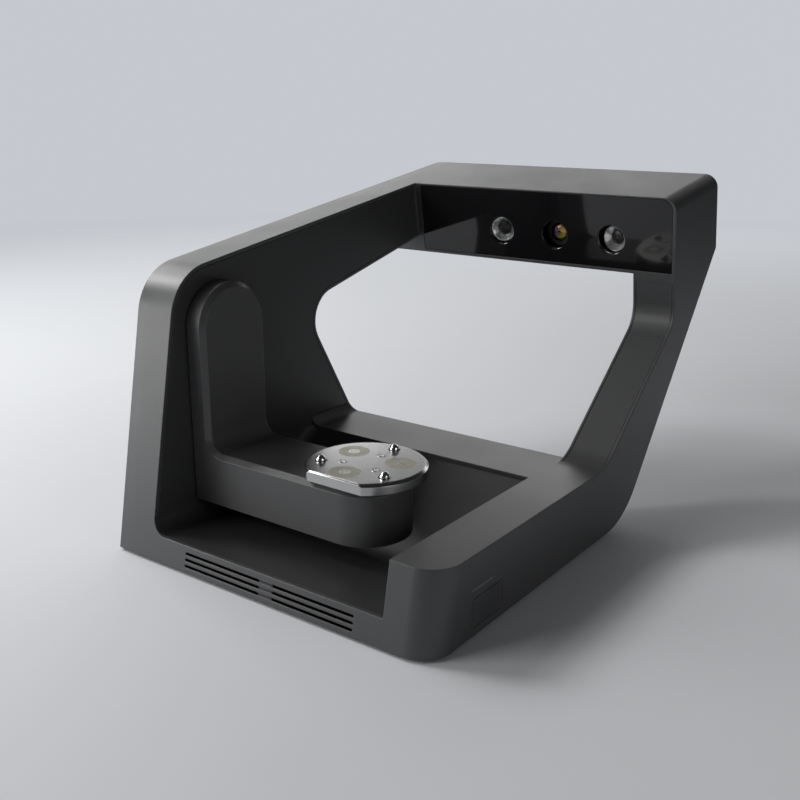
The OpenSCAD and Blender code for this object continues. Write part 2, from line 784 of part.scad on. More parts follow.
module head_rear_cover() color(dark) placed() in_rear() difference() {
    along_y(-rear_cover_t, 0) rounded(rear_outline);
    for (i = [0:rear_slots - 1])
        translate([optics_x + (i - (rear_slots - 1) / 2) * rear_slot_step - rear_slot_w / 2,
            -rear_cover_t - over, (head_tall - rear_slot_h) / 2])
            cube([rear_slot_w, rear_cover_t + 2 * over, rear_slot_h]);
    for (p = rear_screws) translate([p[0], 0, p[1]]) along_y(-rear_cover_t - over, over)
        circle(rear_screw_r + fit);
}

module rear_cover_screws() color(steel) placed() in_rear()
    for (p = rear_screws) translate([p[0], 0, p[1]]) along_y(-rear_cover_t, 0) circle(rear_screw_r);

bench_left = 29.5;
bench_right = 16;
bench_front = 9;
bench_back = 10.5;
bench = [[inner_x + bench_left, bench_front], [right_x - bench_right, head_deep - bench_back]];
bench_t = 3;
camera_w = 32;
camera_l = 34;
camera_y = 18;
barrel_r = 8;
cone_front_r = 10.4;
cone_back_r = 5.5;
cone_wall = 0.8;
cone_y = 4.6;
camera_dome = 1.8;
riser_w = 20;
projector_w = 38;
projector_l = 46;
projector_h = 34;
projector_y = 20;
fins = 7;
fin_t = 1.4;
fin_step = 5;

module at_lens(side) {
    translate([optics_x + side * optics_step, 0, optics_h]) rotate([0, 0, -side * toe_in]) children();
}

module optical_bench() color(steel) placed() in_head() {
    block([bench[0][0], bench[0][1], shell_t], [bench[1][0], bench[1][1], shell_t + bench_t]);
    for (side = [-1, 1]) translate([optics_x + side * optics_step, camera_y + camera_l / 2, 0])
        block([-riser_w / 2, -riser_w / 2, shell_t + bench_t],
            [riser_w / 2, riser_w / 2, optics_h - camera_w / 2]);
    translate([optics_x, projector_y + projector_l / 2, 0])
        block([-riser_w / 2, -riser_w / 2, shell_t + bench_t],
            [riser_w / 2, riser_w / 2, optics_h - projector_h / 2]);
}

module camera(side) {
    at_lens(side) {
        block([-camera_w / 2, camera_y, -camera_w / 2], [camera_w / 2, camera_y + camera_l, camera_w / 2]);
        along_y(cone_y + cone_front_r - cone_back_r, camera_y) circle(barrel_r);
        translate([0, cone_y + cone_front_r - cone_back_r - camera_dome, 0])
            dome(2 * camera_dome, cone_back_r - slack, 2 * barrel_r);
    }
}

// A lens front: a bar along y with a spherical end of radius r1 towards the front
module dome(l, r0, r1) {
    rotate([-90, 0, 0]) intersection() {
        cylinder(l, r0, r0);
        translate([0, 0, r1]) sphere(r1);
    }
}

// A bright cone in front of a camera lens, wide end forward
module lens_cone(side) {
    l = cone_front_r - cone_back_r;
    at_lens(side) translate([0, cone_y, 0]) rotate([-90, 0, 0]) difference() {
        cylinder(l, cone_front_r, cone_back_r + cone_wall);
        translate([0, 0, -over]) cylinder(over, cone_front_r, cone_front_r - cone_wall);
        cylinder(l, cone_front_r - cone_wall, cone_back_r);
        translate([0, 0, l]) cylinder(over, cone_back_r, cone_back_r);
    }
}

module camera_left() color(dark) placed() in_head() camera(-1);
module camera_right() color(dark) placed() in_head() camera(1);
module lens_cone_left() color("silver") placed() in_head() lens_cone(-1);
module lens_cone_right() color("silver") placed() in_head() lens_cone(1);

module projector_body() color("#33363a") placed() in_head()
    translate([optics_x, 0, optics_h]) {
        block([-projector_w / 2, projector_y, -projector_h / 2],
            [projector_w / 2, projector_y + projector_l, projector_h / 2]);
        along_y(2 * cone_y, projector_y) difference() {
            circle(aperture_r - slack);
            circle(barrel_r);
        }
    }

module projector_lens() color("#7a4a2a") placed() in_head()
    translate([optics_x, 2 * cone_y, optics_h]) dome(projector_y - 2 * cone_y, barrel_r, 2 * barrel_r);

module projector_heat_sink() color(steel) placed() in_head()
    translate([optics_x, projector_y + projector_l, optics_h]) {
        block([-projector_w / 2, 0, -projector_h / 2], [projector_w / 2, fin_t, projector_h / 2]);
        for (i = [0:fins - 1])
            translate([(i - (fins - 1) / 2) * fin_step - fin_t / 2, fin_t, -projector_h / 2])
                cube([fin_t, 2 * fin_step, projector_h]);
    }

// Spur gear with involute flanks, a little short in the tooth so that the small pinion runs free
pressure = 20;
tip_share = 0.75;
root_share = 1;
arm_r = arm_w / 2;
arm_shell_t = 3;
tooth = (arm_r - arm_shell_t - gear_clear) / (gear_teeth / 2 + tip_share);
backlash_share = 0.12;
flank_steps = 4;
gear_gap = 0.5;
function inv(a) = tan(a) * 180 / PI - a;
function gear_r(n) = n * tooth / 2;
function flank(n) = let (r = gear_r(n), b = r * cos(pressure), lo = max(b, r - root_share * tooth),
        hi = r + tip_share * tooth,
        half = 90 / n - backlash_share * tooth / r * 90 / PI + inv(pressure))
    concat([[r - root_share * tooth, half - inv(acos(b / lo))]],
        [for (k = [0:flank_steps]) let (q = lo + (hi - lo) * k / flank_steps)
            [q, half - inv(acos(min(b / q, 1)))]]);
function tooth_side(n) = let (f = flank(n), m = len(f))
    concat([for (p = f) [p[0], -p[1]]], [for (i = [m - 1:-1:0]) f[i]]);

module gear_outline(n) {
    polygon([for (i = [0:n - 1], p = tooth_side(n)) p[0] * dir(360 * i / n + p[1])]);
}

gear_distance = gear_r(gear_teeth) + gear_r(pinion_teeth);
motor_w = 28;
motor_l = 17;
motor_shaft_r = 2.5;
bearing_w = 5;
hub_wall = 3;

// Tilt drive in the left wall
drive_t = 2.5;
drive_x = left_x + shell_t;
tube_end = drive_x + drive_t + motor_l + gear_gap;
pivot_bearing_r = 9.5;
gear_x = tube_end + gear_gap;
flange_r = 14;
flange_t = 3;
arm_x = inner_x + arm_gap;
arm_face_x = arm_x + arm_t;
side_cover_t = 2.5;
flange_x = arm_x + side_cover_t;

module drive_plate() color(steel) placed() translate([0, pivot_y, pivot_z]) difference() {
    union() {
        block([drive_x, -2 * flange_r, -gear_distance - motor_w],
            [drive_x + drive_t, 2 * flange_r, 2 * flange_r]);
        bar_x(drive_x, tube_end, pivot_bearing_r + hub_wall);
    }
    bar_x(tube_end - bearing_w, tube_end + over, pivot_bearing_r);
    bar_x(drive_x + drive_t, tube_end, pivot_bearing_r - hub_wall);
    bar_x(drive_x + drive_t, drive_x + drive_t + bearing_w, pivot_bearing_r);
}

module ring_x(x0, x1, r0, r1) {
    difference() {
        bar_x(x0, x1, r1);
        bar_x(x0 - over, x1 + over, r0);
    }
}

module pivot_bearings() color(steel) placed() translate([0, pivot_y, pivot_z]) {
    ring_x(drive_x + drive_t, drive_x + drive_t + bearing_w, pivot_d / 2 + fit, pivot_bearing_r);
    ring_x(tube_end - bearing_w, tube_end, pivot_d / 2 + fit, pivot_bearing_r);
}

module tilt_motor() color("#26282b") placed() translate([0, pivot_y, pivot_z - gear_distance]) difference() {
    block([drive_x + drive_t, -motor_w / 2, -motor_w / 2],
        [drive_x + drive_t + motor_l, motor_w / 2, motor_w / 2]);
    bar_x(drive_x + drive_t + hub_wall, drive_x + drive_t + motor_l + over, motor_shaft_r + fit);
}

module pivot_shaft() color(steel) placed() translate([0, pivot_y, pivot_z]) {
    bar_x(drive_x + drive_t + slack, flange_x + 2 * flange_t, pivot_d / 2);
    bar_x(flange_x, flange_x + flange_t, flange_r);
}

module tilt_gear() color(brass) placed() translate([0, pivot_y, pivot_z]) difference() {
    along_x(gear_x, gear_x + gear_w) rotate(-90) gear_outline(gear_teeth);
    bar_x(gear_x - over, gear_x + gear_w + over, pivot_d / 2);
}

module tilt_pinion() color(brass) placed() translate([0, pivot_y, pivot_z - gear_distance]) {
    along_x(gear_x, gear_x + gear_w) rotate(90 + 180 / pinion_teeth) gear_outline(pinion_teeth);
    bar_x(drive_x + drive_t + hub_wall + slack, gear_x, motor_shaft_r);
}

// Swing arm: an upright part on the pivot and a lying part with a round end
beam_top = beam_z + beam_h;
module upright_view(d) {
    translate([pivot_y, pivot_z]) circle(arm_r - d);
    translate([pivot_y - arm_r + d, beam_z + d]) square([arm_w - 2 * d, pivot_z - beam_z - d]);
}

module beam_view(d) {
    translate([table_x, pivot_y]) circle(arm_r - d);
    translate([arm_x + d, pivot_y - arm_r + d]) square([table_x - arm_x - d, arm_w - 2 * d]);
}

// One chamfer's cross-section, with its corner on the edge that it takes off
module chamfer_view() {
    polygon([[-over, -over], [arm_chamfer + over, -over], [-over, arm_chamfer + over]]);
}

module arm_form() {
    intersection() {
        along_y(pivot_y - arm_r, pivot_y + arm_r) rounded([[arm_x, beam_z, 0],
            [table_x + arm_r, beam_z, 0], [table_x + arm_r, beam_top, 0],
            [arm_face_x, beam_top, elbow_r], [arm_face_x, pivot_z + arm_r, 0], [arm_x, pivot_z + arm_r, 0]]);
        union() {
            along_x(arm_x, arm_face_x + elbow_r) upright_view(0);
            translate([0, 0, beam_z]) linear_extrude(beam_h) beam_view(0);
        }
    }
}

module arm_chamfers() {
    low = beam_top + elbow_r;
    for (side = [0:1]) translate([0, pivot_y, 0]) mirror([0, side, 0]) {
        translate([arm_face_x, -arm_r, low]) linear_extrude(pivot_z - low) mirror([1, 0]) chamfer_view();
        translate([arm_face_x + elbow_r, -arm_r, beam_top]) rotate([90, 0, 90])
            linear_extrude(table_x - arm_face_x - elbow_r) mirror([0, 1]) chamfer_view();
        translate([arm_face_x + elbow_r, -arm_r, low]) rotate([-90, 0, 0]) rotate([0, 0, 90])
            rotate_extrude(angle = 90) translate([elbow_r, 0]) chamfer_view();
    }
    translate([arm_face_x, pivot_y, pivot_z]) rotate([0, -90, 0]) rotate([0, 0, -90])
        rotate_extrude(angle = 180) translate([arm_r, 0]) mirror([1, 0]) chamfer_view();
    translate([table_x, pivot_y, beam_top]) rotate([180, 0, 0]) rotate([0, 0, -90])
        rotate_extrude(angle = 180) translate([arm_r, 0]) mirror([1, 0]) chamfer_view();
}

arm_post_r = 3.5;
arm_post_gap = 3;
arm_post_y = arm_r - arm_shell_t - arm_post_r - arm_post_gap;
arm_posts = [for (x = [arm_face_x + arm_chamfer,
        table_x - gear_distance - motor_w / 2 - arm_post_r - arm_post_gap], s = [-1, 1])
    [x, pivot_y + s * arm_post_y]];
bottom_cover_t = 2.5;
spindle_clear = 1;
module arm_shell() color(charcoal) placed() {
    difference() {
        arm_form();
        arm_chamfers();
        along_x(arm_x - over, arm_face_x - arm_shell_t) upright_view(arm_shell_t);
        translate([0, 0, beam_z - over]) linear_extrude(beam_h - arm_shell_t + over) beam_view(arm_shell_t);
        translate([table_x, pivot_y, beam_top - arm_shell_t - over])
            cylinder(arm_shell_t + 2 * over, spindle_d / 2 + spindle_clear, spindle_d / 2 + spindle_clear);
    }
    translate([0, pivot_y, pivot_z])
        ring_x(flange_x + flange_t, arm_face_x - arm_shell_t, pivot_d / 2, flange_r);
    for (p = arm_posts) translate([p[0], p[1], beam_z + bottom_cover_t]) difference() {
        cylinder(beam_h - arm_shell_t - bottom_cover_t, arm_post_r, arm_post_r);
        translate([0, 0, -over]) cylinder(2 * screw_head_t + 2 * over, screw_r, screw_r);
    }
}

module arm_side_cover() color(dark) placed() difference() {
    along_x(arm_x, flange_x) upright_view(arm_shell_t + slack);
    translate([0, pivot_y, pivot_z]) bar_x(arm_x - over, flange_x + over, pivot_d / 2 + fit);
}

module arm_bottom_cover() color(dark) placed() difference() {
    translate([0, 0, beam_z]) linear_extrude(bottom_cover_t) beam_view(arm_shell_t + slack);
    for (p = arm_posts) translate([p[0], p[1], beam_z - over]) {
        cylinder(bottom_cover_t + 2 * over, screw_r + fit, screw_r + fit);
        cylinder(screw_head_t + over, screw_head_r + fit, screw_head_r + fit);
    }
}

module arm_screws() color(steel) placed()
    for (p = arm_posts) translate([p[0], p[1], beam_z]) {
        cylinder(screw_head_t, screw_head_r, screw_head_r);
        cylinder(bottom_cover_t + 2 * screw_head_t, screw_r, screw_r);
    }

// Turntable drive under the plate
turn_motor_z = beam_top - arm_shell_t - motor_l;
gear_z = turn_motor_z - 2 * gear_gap - gear_w;
carrier_z = turn_motor_z;
spindle_bearing_r = 8;
table_flange_r = 20;
table_flange_t = 1.6;
plate_z = beam_top + plate_gap;

module turntable_motor() color("#26282b") placed() translate([table_x - gear_distance, pivot_y, turn_motor_z])
    difference() {
        translate([-motor_w / 2, -motor_w / 2, 0]) cube([motor_w, motor_w, motor_l]);
        translate([0, 0, -over])
            cylinder(motor_l - hub_wall + over, motor_shaft_r + fit, motor_shaft_r + fit);
    }

module bearing_carrier() color(steel) placed() translate([table_x, pivot_y, carrier_z]) difference() {
    cylinder(motor_l, spindle_bearing_r + hub_wall, spindle_bearing_r + hub_wall);
    translate([0, 0, -over]) cylinder(bearing_w + over, spindle_bearing_r, spindle_bearing_r);
    translate([0, 0, motor_l - bearing_w]) cylinder(bearing_w + over, spindle_bearing_r, spindle_bearing_r);
    translate([0, 0, -over]) cylinder(motor_l, spindle_d / 2 + spindle_clear, spindle_d / 2 + spindle_clear);
}

module spindle_bearings() color(steel) placed()
    for (z = [carrier_z, carrier_z + motor_l - bearing_w]) translate([table_x, pivot_y, z]) difference() {
        cylinder(bearing_w, spindle_bearing_r, spindle_bearing_r);
        translate([0, 0, -over]) cylinder(bearing_w + 2 * over, spindle_d / 2 + fit, spindle_d / 2 + fit);
    }

module spindle() color(steel) placed() translate([table_x, pivot_y, 0]) {
    translate([0, 0, gear_z]) cylinder(plate_z - gear_z, spindle_d / 2, spindle_d / 2);
    translate([0, 0, plate_z - table_flange_t]) cylinder(table_flange_t, table_flange_r, table_flange_r);
}

module turntable_gear() color(brass) placed() translate([table_x, pivot_y, gear_z]) difference() {
    linear_extrude(gear_w) rotate(180) gear_outline(gear_teeth);
    translate([0, 0, -over]) cylinder(gear_w + 2 * over, spindle_d / 2, spindle_d / 2);
}

module turntable_pinion() color(brass) placed() translate([table_x - gear_distance, pivot_y, gear_z]) {
    linear_extrude(gear_w) rotate(180 / pinion_teeth) gear_outline(pinion_teeth);
    cylinder(gear_w + 2 * gear_gap + motor_l - hub_wall - slack, motor_shaft_r, motor_shaft_r);
}

// Turntable plate with balls, magnets and screws
plate_top = plate_z + plate_t;
ball_rise = 0.5;
seat_ring = 0.8;
seat_ring_t = 1;

// The cross-shaped recess in the top of a screw head, given the head's radius and thickness
cross_share = 0.62;
cross_w_share = 0.22;
cross_t_share = 0.6;
module cross_recess(r, head_t) {
    l = 2 * cross_share * r;
    w = 2 * cross_w_share * r;
    t = cross_t_share * head_t;
    translate([-l / 2, -w / 2, -t]) cube([l, w, t + over]);
    translate([-w / 2, -l / 2, -t]) cube([w, l, t + over]);
}
magnet_head_r = 4;
magnet_head_t = 1.6;
magnet_shank_r = 1.5;
plate_head_r = 2.2;
plate_head_t = 1.4;
plate_shank_r = 1;
module each_third(a, r) {
    for (k = [0:2]) rotate([0, 0, a + k * 120]) translate([r, 0, 0]) children();
}

module turntable_plate() color("#b4b7ba") placed() translate([table_x, pivot_y, plate_z]) difference() {
    intersection() {
        union() {
            cylinder(plate_t - plate_chamfer, plate_r, plate_r);
            translate([0, 0, plate_t - plate_chamfer])
                cylinder(plate_chamfer, plate_r, plate_r - plate_chamfer);
        }
        translate([-plate_r, -flat_r, 0]) cube([2 * plate_r, 2 * plate_r, plate_t]);
    }
    each_third(30, magnet_ring) translate([0, 0, plate_t - magnet_t])
        cylinder(magnet_t + over, magnet_d / 2 + fit, magnet_d / 2 + fit);
    each_third(30, magnet_ring) translate([0, 0, plate_t - 2 * magnet_t + magnet_head_t])
        cylinder(magnet_t, magnet_shank_r, magnet_shank_r);
    each_third(90, ball_ring) translate([0, 0, plate_t + ball_rise - ball_d / 2])
        cylinder(ball_d, ball_d / 2 + fit, ball_d / 2 + fit);
    each_third(90, ball_ring) translate([0, 0, plate_t - seat_ring_t])
        cylinder(seat_ring_t + over, ball_d / 2 + seat_ring, ball_d / 2 + seat_ring);
    each_third(90, screw_ring) {
        translate([0, 0, -over]) cylinder(plate_t + 2 * over, plate_shank_r + fit, plate_shank_r + fit);
        translate([0, 0, plate_t - plate_head_t])
            cylinder(plate_head_t + over, plate_head_r + fit, plate_head_r + fit);
    }
}

module support_balls() color("#d8dadc") placed() translate([table_x, pivot_y, plate_top + ball_rise])
    each_third(90, ball_ring) sphere(ball_d / 2);

module magnet_discs() color("#4d4838") placed() translate([table_x, pivot_y, plate_top - magnet_t])
    each_third(30, magnet_ring) difference() {
        cylinder(magnet_t, magnet_d / 2, magnet_d / 2);
        translate([0, 0, -over]) cylinder(magnet_t + 2 * over, magnet_shank_r + fit, magnet_shank_r + fit);
        translate([0, 0, magnet_t - magnet_head_t])
            cylinder(magnet_head_t + over, magnet_head_r + fit, magnet_head_r + fit);
    }

module magnet_screws() color("#6b6654") placed() translate([table_x, pivot_y, plate_top])
    each_third(30, magnet_ring) {
        difference() {
            translate([0, 0, -magnet_head_t]) cylinder(magnet_head_t, magnet_head_r, magnet_head_r);
            cross_recess(magnet_head_r, magnet_head_t);
        }
        translate([0, 0, magnet_head_t - 2 * magnet_t])
            cylinder(2 * magnet_t - magnet_head_t, magnet_shank_r, magnet_shank_r);
    }

module plate_screws() color("#8f9196") placed() translate([table_x, pivot_y, plate_top])
    each_third(90, screw_ring) {
        difference() {
            translate([0, 0, -plate_head_t]) cylinder(plate_head_t, plate_head_r, plate_head_r);
            cross_recess(plate_head_r, plate_head_t);
        }
        translate([0, 0, -plate_t]) cylinder(plate_t - plate_head_t, plate_shank_r, plate_shank_r);
    }

base_shell();
tray();
bottom_plate();
rubber_feet();
bottom_screws();
left_wall_shell();
left_wall_liner();
right_strut_shell();
strut_cover();
head_shell();
head_rear_cover();
rear_cover_screws();
front_glass();
optical_bench();
camera_left();
camera_right();
lens_cone_left();
lens_cone_right();
projector_body();
projector_lens();
projector_heat_sink();
drive_plate();
pivot_bearings();
tilt_motor();
main_board();
port_plate();
power_inlet();
data_port();
button_switch();
indicator_lights();
head_cable();
arm_shell();
arm_side_cover();
arm_bottom_cover();
arm_screws();
pivot_shaft();
tilt_gear();
turntable_motor();
bearing_carrier();
spindle_bearings();
turntable_plate();
spindle();
turntable_gear();
support_balls();
magnet_discs();
magnet_screws();
plate_screws();
tilt_pinion();
turntable_pinion();
power_button();
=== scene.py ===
import json
import math
import bmesh
import bpy
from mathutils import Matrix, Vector


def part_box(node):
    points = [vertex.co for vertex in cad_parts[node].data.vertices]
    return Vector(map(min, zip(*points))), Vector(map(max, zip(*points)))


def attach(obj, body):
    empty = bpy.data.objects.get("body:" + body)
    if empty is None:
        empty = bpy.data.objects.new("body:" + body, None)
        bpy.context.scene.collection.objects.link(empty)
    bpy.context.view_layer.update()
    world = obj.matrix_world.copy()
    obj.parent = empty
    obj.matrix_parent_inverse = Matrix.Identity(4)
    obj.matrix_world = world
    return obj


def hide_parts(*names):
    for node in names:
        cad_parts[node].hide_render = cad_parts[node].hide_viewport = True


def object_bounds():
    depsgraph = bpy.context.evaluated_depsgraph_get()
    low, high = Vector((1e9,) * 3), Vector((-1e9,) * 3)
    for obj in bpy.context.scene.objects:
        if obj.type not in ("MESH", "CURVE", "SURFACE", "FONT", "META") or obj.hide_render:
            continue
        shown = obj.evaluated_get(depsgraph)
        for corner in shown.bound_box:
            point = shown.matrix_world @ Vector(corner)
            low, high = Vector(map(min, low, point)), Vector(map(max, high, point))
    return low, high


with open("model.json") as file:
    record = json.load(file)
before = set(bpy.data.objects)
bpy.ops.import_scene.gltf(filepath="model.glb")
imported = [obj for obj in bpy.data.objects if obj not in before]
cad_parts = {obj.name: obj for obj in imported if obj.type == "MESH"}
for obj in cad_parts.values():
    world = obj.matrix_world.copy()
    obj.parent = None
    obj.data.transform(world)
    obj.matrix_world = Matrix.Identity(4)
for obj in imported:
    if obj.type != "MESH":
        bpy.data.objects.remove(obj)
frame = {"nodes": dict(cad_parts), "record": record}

cad_lo, cad_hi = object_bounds()
nodes = frame["nodes"]
scene = bpy.context.scene
MM = 0.001

# Camera, at the photograph's angle
CAMERA_AT = (0.4301, -0.633994, 0.3198)
CAMERA_DOWN = math.radians(16.80)
CAMERA_TURN = math.radians(36.375)
SENSOR_MM = 36
LENS_MM = 45.29
NEAREST, FARTHEST = 0.02, 20

cam_data = bpy.data.cameras.new("camera")
cam = bpy.data.objects.new("camera", cam_data)
scene.collection.objects.link(cam)
scene.camera = cam
cam.location = CAMERA_AT
cam.rotation_euler = (math.radians(90) - CAMERA_DOWN, 0, CAMERA_TURN)
cam_data.sensor_width = SENSOR_MM
cam_data.lens = LENS_MM
cam_data.clip_start = NEAREST
cam_data.clip_end = FARTHEST


# How a material is built
class Shade:
    """One material: a Principled shader whose colour, roughness and normal gain detail by steps."""

    BEVEL_SAMPLES = 6
    EDGE_SAMPLES = 4
    EDGE_PATCH_NOISE = {"scale": 260, "detail": 4, "rough": 0.65}
    EDGE_PATCHES = (0.4, 0.7)
    EDGE_TURN = (1.0, 0.75)

    def __init__(self, name, color, rough, metal=0.0, spec=0.5):
        self.mat = bpy.data.materials.new(name)
        self.mat.use_nodes = True
        self.tree = self.mat.node_tree
        self.tree.nodes.clear()
        out = self.node("ShaderNodeOutputMaterial")
        self.shader = self.node("ShaderNodeBsdfPrincipled")
        self.link(self.shader.outputs[0], out.inputs[0])
        self.shader.inputs["Metallic"].default_value = metal
        self.shader.inputs["Specular IOR Level"].default_value = spec
        self.color = (*color, 1)
        self.rough = rough
        self.normal = None

    def node(self, kind, **settings):
        n = self.tree.nodes.new(kind)
        for key, value in settings.items():
            setattr(n, key, value)
        return n

    def link(self, source, socket):
        """Joins an output to a socket; a plain number or colour is set on the socket itself."""
        if isinstance(source, (int, float, tuple)):
            socket.default_value = source
        else:
            self.tree.links.new(source, socket)

    def coords(self, stretch=(1, 1, 1)):
        place = self.node("ShaderNodeTexCoord")
        mapping = self.node("ShaderNodeMapping")
        mapping.inputs["Scale"].default_value = stretch
        self.link(place.outputs["Object"], mapping.inputs["Vector"])
        return mapping.outputs[0]

    def noise(self, scale, detail=2.0, rough=0.5, stretch=(1, 1, 1)):
        n = self.node("ShaderNodeTexNoise")
        n.inputs["Scale"].default_value = scale
        n.inputs["Detail"].default_value = detail
        n.inputs["Roughness"].default_value = rough
        self.link(self.coords(stretch), n.inputs["Vector"])
        return n.outputs["Fac"]

    def span(self, value, start, end, low=0.0, high=1.0):
        """Maps start to end onto low to high, and stays there beyond both ends."""
        n = self.node("ShaderNodeMapRange")
        n.inputs["From Min"].default_value = start
        n.inputs["From Max"].default_value = end
        n.inputs["To Min"].default_value = low
        n.inputs["To Max"].default_value = high
        self.link(value, n.inputs["Value"])
        return n.outputs[0]

    def within(self, value, start, full, last, end):
        """1 from full to last, falling to 0 at start and at end."""
        return self.math("MULTIPLY", self.span(value, start, full), self.span(value, end, last))

    def math(self, operation, a, b):
        n = self.node("ShaderNodeMath", operation=operation)
        self.link(a, n.inputs[0])
        self.link(b, n.inputs[1])
        return n.outputs[0]

    def along(self, point, direction):
        """Distance in metres from a point along a direction, in the shared frame."""
        place = self.node("ShaderNodeTexCoord")
        offset = self.node("ShaderNodeVectorMath", operation="SUBTRACT")
        dot = self.node("ShaderNodeVectorMath", operation="DOT_PRODUCT")
        offset.inputs[1].default_value = point
        dot.inputs[1].default_value = direction
        self.link(place.outputs["Object"], offset.inputs[0])
        self.link(offset.outputs[0], dot.inputs[0])
        return dot.outputs["Value"]

    def length(self, a, b):
        """Length of the vector whose two parts are a and b."""
        squares = self.math("ADD", self.math("MULTIPLY", a, a), self.math("MULTIPLY", b, b))
        return self.math("POWER", squares, 0.5)

    def multiplied(self, a, b):
        """The product of two colours."""
        n = self.node("ShaderNodeMix", data_type="RGBA", blend_type="MULTIPLY")
        n.inputs["Factor"].default_value = 1
        self.link(a, n.inputs["A"])
        self.link(b, n.inputs["B"])
        return n.outputs["Result"]

    def ramp(self, value, stops):
        """Colours by position, each stop a place and its colour."""
        n = self.node("ShaderNodeValToRGB")
        ends = n.color_ramp.elements
        ends[0].position, ends[0].color = stops[0][0], (*stops[0][1], 1)
        ends[1].position, ends[1].color = stops[-1][0], (*stops[-1][1], 1)
        for place, color in stops[1:-1]:
            ends.new(place).color = (*color, 1)
        self.link(value, n.inputs[0])
        return n.outputs[0]

    def tint(self, fac, color, amount):
        """Mixes a colour in where fac is high."""
        n = self.node("ShaderNodeMix", data_type="RGBA")
        self.link(self.span(fac, 0, 1, 0, amount), n.inputs["Factor"])
        self.link(self.color, n.inputs["A"])
        n.inputs["B"].default_value = (*color, 1)
        self.color = n.outputs["Result"]
        return self

    def vary(self, fac, low, high):
        """Multiplies the colour by low to high as fac goes from 0 to 1."""
        level = self.span(fac, 0, 1, low, high)
        grey = self.node("ShaderNodeCombineColor")
        for channel in range(3):
            self.link(level, grey.inputs[channel])
        self.color = self.multiplied(self.color, grey.outputs[0])
        return self

    def roughen(self, fac, low, high):
        """Adds low to high to the roughness as fac goes from 0 to 1."""
        self.rough = self.math("ADD", self.rough, self.span(fac, 0, 1, low, high))
        return self

    def bump(self, fac, depth_mm, strength=1.0):
        n = self.node("ShaderNodeBump")
        n.inputs["Strength"].default_value = strength
        n.inputs["Distance"].default_value = depth_mm * MM
        self.link(fac, n.inputs["Height"])
        if self.normal:
            self.link(self.normal, n.inputs["Normal"])
        self.normal = n.outputs[0]
        return self

    def bevel(self, radius_mm, samples):
        n = self.node("ShaderNodeBevel", samples=samples)
        n.inputs["Radius"].default_value = radius_mm * MM
        return n.outputs[0]

    def rounded(self, radius_mm):
        """Rounds the edges in the shading, under every bump."""
        normal = self.bevel(radius_mm, self.BEVEL_SAMPLES)
        for n in self.tree.nodes:
            if n.type == "BUMP" and not n.inputs["Normal"].is_linked:
                self.link(normal, n.inputs["Normal"])
        return self

    def coat(self, weight, rough):
        self.shader.inputs["Coat Weight"].default_value = weight
        self.shader.inputs["Coat Roughness"].default_value = rough
        return self

    def edge_wear_and_sheen(self, color, amount, radius_mm=0.5):
        """Paler edges in patches, found from how the surface turns: rubbed wear, and a painted edge
        highlight where the colour is far paler than the surface.
        """
        face = self.node("ShaderNodeNewGeometry")
        dot = self.node("ShaderNodeVectorMath", operation="DOT_PRODUCT")
        self.link(self.bevel(radius_mm, self.EDGE_SAMPLES), dot.inputs[0])
        self.link(face.outputs["True Normal"], dot.inputs[1])
        edge = self.span(dot.outputs["Value"], *self.EDGE_TURN)
        patches = self.span(self.noise(**self.EDGE_PATCH_NOISE), *self.EDGE_PATCHES)
        return self.tint(self.math("MULTIPLY", edge, patches), color, amount)

    def done(self):
        self.link(self.color, self.shader.inputs["Base Color"])
        self.link(self.rough, self.shader.inputs["Roughness"])
        if self.normal:
            self.link(self.normal, self.shader.inputs["Normal"])
        return self.mat


# Families of materials
DUST = (0.25, 0.25, 0.24)


def moulded(name, color, rough, grain=0.012, spec=0.5, scale=2600):
    """Satin moulded plastic: fine spark grain, faint flow marks, some dust and hand shine."""
    s = Shade(name, color, rough, spec=spec)
    fine = s.noise(scale, detail=3, rough=0.6)
    flow = s.noise(scale=55, detail=2, rough=0.4)
    clouds = s.noise(scale=9, detail=3, rough=0.5)
    touched = s.noise(scale=22, detail=4, rough=0.55)
    specks = s.noise(scale=1300, detail=2, rough=0.7)
    s.bump(fine, depth_mm=grain).bump(flow, depth_mm=0.03, strength=0.25)
    s.vary(clouds, low=0.93, high=1.07).vary(fine, low=0.92, high=1.08)
    s.roughen(touched, low=-0.05, high=0.06).roughen(fine, low=-0.03, high=0.03)
    return s.tint(s.span(specks, start=0.7, end=0.8), DUST, amount=0.10)


def metal(name, color, rough, stretch=(1, 1, 1), scale=900):
    """Machined metal: fine lines, drawn out by stretch, and faint clouds."""
    s = Shade(name, color, rough, metal=1.0)
    lines = s.noise(scale, detail=4, rough=0.6, stretch=stretch)
    clouds = s.noise(scale=70, detail=3, rough=0.5)
    s.bump(lines, depth_mm=0.004).vary(lines, low=0.88, high=1.1)
    return s.roughen(lines, low=-0.05, high=0.09).vary(clouds, low=0.95, high=1.05)


def turned(name, color, rough, centre, pitch_mm, face_mm=(0.8, 0.4)):
    """Metal faced on a lathe: fine rings round an upright axis, on the top face only."""
    s = Shade(name, color, rough, metal=1.0)
    radius = s.length(s.along(centre, (1, 0, 0)), s.along(centre, (0, 1, 0)))
    n = s.node("ShaderNodeTexNoise", noise_dimensions="1D")
    n.inputs["Scale"].default_value = 1 / (pitch_mm * MM)
    n.inputs["Detail"].default_value = 3
    s.link(radius, n.inputs["W"])
    below, near = face_mm
    top_face = s.span(s.along(centre, (0, 0, 1)), -below * MM, -near * MM)
    rings = s.math("MULTIPLY", n.outputs["Fac"], top_face)
    s.bump(rings, depth_mm=0.004).vary(rings, low=0.9, high=1.08).roughen(rings, low=-0.05, high=0.07)
    s.vary(s.noise(scale=60, detail=3), low=0.95, high=1.05)
    return s.roughen(s.noise(scale=900, detail=3, rough=0.6), low=-0.03, high=0.05)


